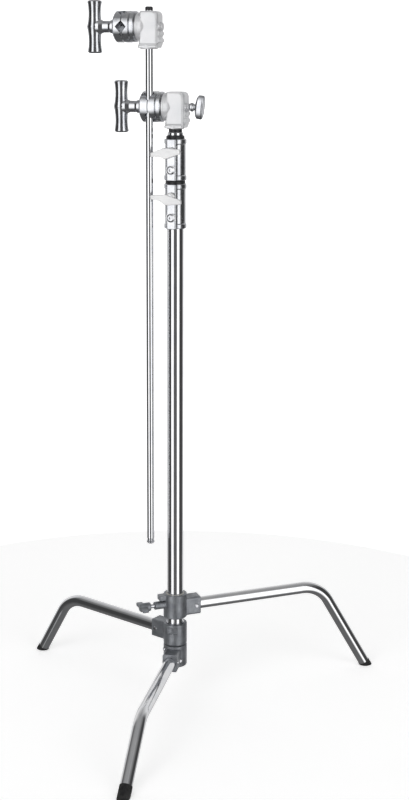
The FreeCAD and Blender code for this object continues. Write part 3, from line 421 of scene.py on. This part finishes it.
# outlines of the levers seen from the front, from their own screw
LEVERS = {
    "upper": ((-41, -11, 1), (-41.5, -3.5, 1), (-13, 8, 6), (21.5, 5, 1.2), (22.5, -3.5, 1.2),
              (-10.5, -15.5, 4), (-22, -10, 30)),
    "lower": ((-41.5, -5, 1.5), (-41.5, 3, 1.5), (-9, 5.5, 8), (24, -6, 1.2), (24, -14, 1.2),
              (-10, -17, 4), (-21, -8, 30)),
}
LEVER_FACE = 41.5
LEVER_BACK = 35.5
LEVER_HUB = ((9, 31.6), (9, LEVER_BACK), (7, LEVER_BACK + 1.5))
LEVER_SECTIONS = ((LEVER_BACK, 0.95), (LEVER_BACK + 1, 1), (LEVER_FACE - 1.4, 1), (LEVER_FACE, 0.93))
LEVER_MIDDLE = -3


def lever(prefix):
    """White wing lever: thin pointed blade with a crowned face, on a round hub."""
    shape = bmesh.new()
    low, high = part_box(prefix + "_lever_screw")
    place = Matrix.Translation(Vector((0, 0, (low.z + high.z) / 2)))
    outline = rounded(LEVERS[prefix])
    sections = []
    for depth, size in LEVER_SECTIONS:
        length = (1 + size) / 2
        sections.append([(x * length, -depth, (z - LEVER_MIDDLE) * size + LEVER_MIDDLE) for x, z in outline])
    loft(shape, sections, place)
    outward = place @ Matrix.Rotation(math.radians(90), 4, "X")
    lathe(shape, LEVER_HUB, outward)
    mesh = as_casting(mesh_of(shape), 0.5, 3)
    show(prefix + "_wing_lever", mesh, prefix + "_lever", "lever_casting", prefix + "_lever")


# oval sections of the paddle knob: distance from the bore, half height, half depth
KNOB_SECTIONS = ((43, 15, 7), (44.5, 20.5, 9.6), (47.5, 24, 10.8), (57, 24.5, 11), (59.2, 22.8, 9.8),
                 (59.8, 20.5, 8.4), (59.2, 19.5, 7.8))
KNOB_STEPS = 64
KNOB_NECK = ((7.3, 31.5), (9.3, 33.5), (9.3, 37), (6.5, 40), (6.5, 42), (9.3, 46))
KNOB_PIVOT = 51
KNOB_LEAN = math.radians(7)


def spigot_knob():
    """Oval paddle knob with a rimmed end face, on a turned neck."""
    shape = bmesh.new()
    place = Matrix.Translation(head_centre("lower"))
    sections = []
    for x, half_height, half_depth in KNOB_SECTIONS:
        ring = []
        for step in range(KNOB_STEPS):
            angle = 2 * math.pi * step / KNOB_STEPS
            ring.append((x, half_depth * math.cos(angle), half_height * math.sin(angle)))
        sections.append(ring)
    pivot = Vector((KNOB_PIVOT, 0, 0)) * MM
    lean = Matrix.Translation(pivot) @ Matrix.Rotation(KNOB_LEAN, 4, "Y") @ Matrix.Translation(-pivot)
    loft(shape, sections, place @ lean)
    back = place @ Matrix.Rotation(math.radians(90), 4, "Y")
    lathe(shape, KNOB_NECK, back)
    mesh = as_casting(mesh_of(shape), 0.5, 3)
    show("spigot_paddle", mesh, "spigot_knob", "polished_casting", "spigot_knob")


def softened(node, body, slot, grain, rounds):
    """A CAD casting with its edges and corners rounded off, as a foundry leaves them."""
    mesh = as_casting(frame["nodes"][node].data.copy(), grain, rounds)
    show(node + "_soft", mesh, body, slot, node)


def add_pieces():
    """Every piece that stands in for a plainer CAD node."""
    for prefix in SIDES:
        head_body(prefix)
        lever(prefix)
        softened(prefix + "_t_handle", prefix + "_t_handle", "polished_casting", 0.7, 3)
    spigot_knob()
    softened("front_casting", "base", "base_casting", 0.8, 4)
    softened("middle_casting", "middle_leg", "base_casting", 0.8, 4)
    softened("slide_casting", "slide_leg", "base_casting", 0.8, 4)
    softened("wing_knob", "wing_knob", "base_casting", 0.6, 6)


# ---------------------------------------------------------------- stage and light
STAGE_DIM = 0.985
STAGE_SEGMENTS = 96


def plain_material(name, colour, glow):
    """A pale matt surface of the studio that also glows a little."""
    nodes = Nodes(name)
    nodes.set(Roughness=0.9, Emission_Strength=glow, Emission_Color=(1, 1, 1, 1))
    dim = colour * STAGE_DIM
    return nodes.finish(nodes.colours(nodes.noise(3, 2), (dim, dim, dim), (colour, colour, colour)))


def stage_piece(name, radius, height, lift, lit, colour, glow):
    """A round floor, or a wall where it has a height; one that isn't lit is for the camera only."""
    shape = bmesh.new()
    if height:
        bmesh.ops.create_cone(shape, segments=STAGE_SEGMENTS, radius1=radius,
                              radius2=radius, depth=height)
        bmesh.ops.reverse_faces(shape, faces=shape.faces)
    else:
        bmesh.ops.create_circle(shape, cap_ends=True, segments=STAGE_SEGMENTS, radius=radius)
    mesh = bpy.data.meshes.new(name)
    shape.to_mesh(mesh)
    shape.free()
    mesh.materials.append(plain_material(name, colour, glow))
    item = bpy.data.objects.new(name, mesh)
    item.location.z = lift + height / 2
    item.visible_glossy = False
    item.visible_diffuse = lit
    item.visible_shadow = lit
    bpy.context.collection.objects.link(item)


def add_stage():
    """A pale floor under the stand, and a white surround that only the camera sees."""
    stage_piece("floor", FLOOR_RADIUS, 0, -0.0006, True, 0.93, 0.52)
    stage_piece("far_floor", STAGE_RADIUS, 0, -0.004, False, 0.9, 1.0)
    stage_piece("wall", STAGE_RADIUS, STAGE_HEIGHT, -0.01, False, 0.9, 1.0)


# brightness of the studio at angles from the camera's side round to the far side
STUDIO = ((0, 0.10), (20, 0.13), (30, 1.7), (50, 1.7), (60, 0.05), (112, 0.06), (130, 0.75), (179, 0.75))
# brightness below and overhead, and how far each takes over, from straight down (0) to straight up (1)
ENDS = ((0.4, 0.13), (0.6, 0.32))
ENDS_WEIGHT = ((0.12, 1), (0.3, 0.15), (0.4, 0), (0.72, 0), (0.86, 0.6), (0.97, 1))


def grey_ramp(tree, source, stops):
    """Turn a source into a grey level by (position, level) stops."""
    ramp = tree.nodes.new("ShaderNodeValToRGB")
    elements = ramp.color_ramp.elements
    while len(elements) < len(stops):
        elements.new(0.5)
    for element, (position, level) in zip(elements, stops):
        element.position = position
        element.color = (level, level, level, 1)
    tree.links.new(source, ramp.inputs["Fac"])
    return ramp.outputs["Color"]


def add_world():
    """Two tall soft boxes, dark sides and a pale far side, all by direction."""
    world = bpy.data.worlds.new("studio")
    world.use_nodes = True
    tree = world.node_tree
    place = tree.nodes.new("ShaderNodeTexCoord").outputs["Generated"]
    mapping = tree.nodes.new("ShaderNodeMapping")
    mapping.inputs["Rotation"].default_value = (0, 0, -CAMERA_AZIMUTH)
    tree.links.new(place, mapping.inputs["Vector"])
    round_angle = tree.nodes.new("ShaderNodeTexGradient")
    round_angle.gradient_type = "RADIAL"
    tree.links.new(mapping.outputs["Vector"], round_angle.inputs["Vector"])
    left = [(0.5 - angle / 360, value) for angle, value in STUDIO[1:]]
    right = [(0.5 + angle / 360, value) for angle, value in STUDIO]
    sides = grey_ramp(tree, round_angle.outputs["Fac"], sorted(left + right))
    height = tree.nodes.new("ShaderNodeSeparateXYZ")
    tree.links.new(place, height.inputs["Vector"])
    share = tree.nodes.new("ShaderNodeMapRange")
    share.inputs["From Min"].default_value = -1
    tree.links.new(height.outputs["Z"], share.inputs["Value"])
    ends = grey_ramp(tree, share.outputs["Result"], ENDS)
    weight = grey_ramp(tree, share.outputs["Result"], ENDS_WEIGHT)
    blend = tree.nodes.new("ShaderNodeMix")
    blend.data_type = "RGBA"
    tree.links.new(weight, blend.inputs["Factor"])
    tree.links.new(sides, blend.inputs["A"])
    tree.links.new(ends, blend.inputs["B"])
    tree.links.new(blend.outputs["Result"], tree.nodes["Background"].inputs["Color"])
    bpy.context.scene.world = world


# square soft lights: degrees from the camera, distance, height and size in metres, and watts
LIGHTS = {"key": (-28, 3.2, 2.6, 2.0, 16), "fill": (45, 3.4, 1.6, 2.2, 5)}
LIGHT_AIM = Vector((0, 0, 0.75))


def add_light(name, azimuth, distance, height, size, power):
    """A soft light that lights the object but isn't mirrored in it."""
    light = bpy.data.lights.new(name, "AREA")
    light.size = size
    light.energy = power
    lamp = bpy.data.objects.new(name, light)
    angle = CAMERA_AZIMUTH + math.radians(azimuth)
    lamp.location = (distance * math.cos(angle), distance * math.sin(angle), height)
    aim = LIGHT_AIM - lamp.location
    lamp.rotation_euler = aim.to_track_quat("-Z", "Y").to_euler()
    lamp.visible_glossy = False
    bpy.context.collection.objects.link(lamp)


dress_nodes()
add_pieces()
add_stage()
add_world()
add_camera()
for light_name, settings in LIGHTS.items():
    add_light(light_name, *settings)
bpy.context.scene.view_settings.view_transform = "Standard"
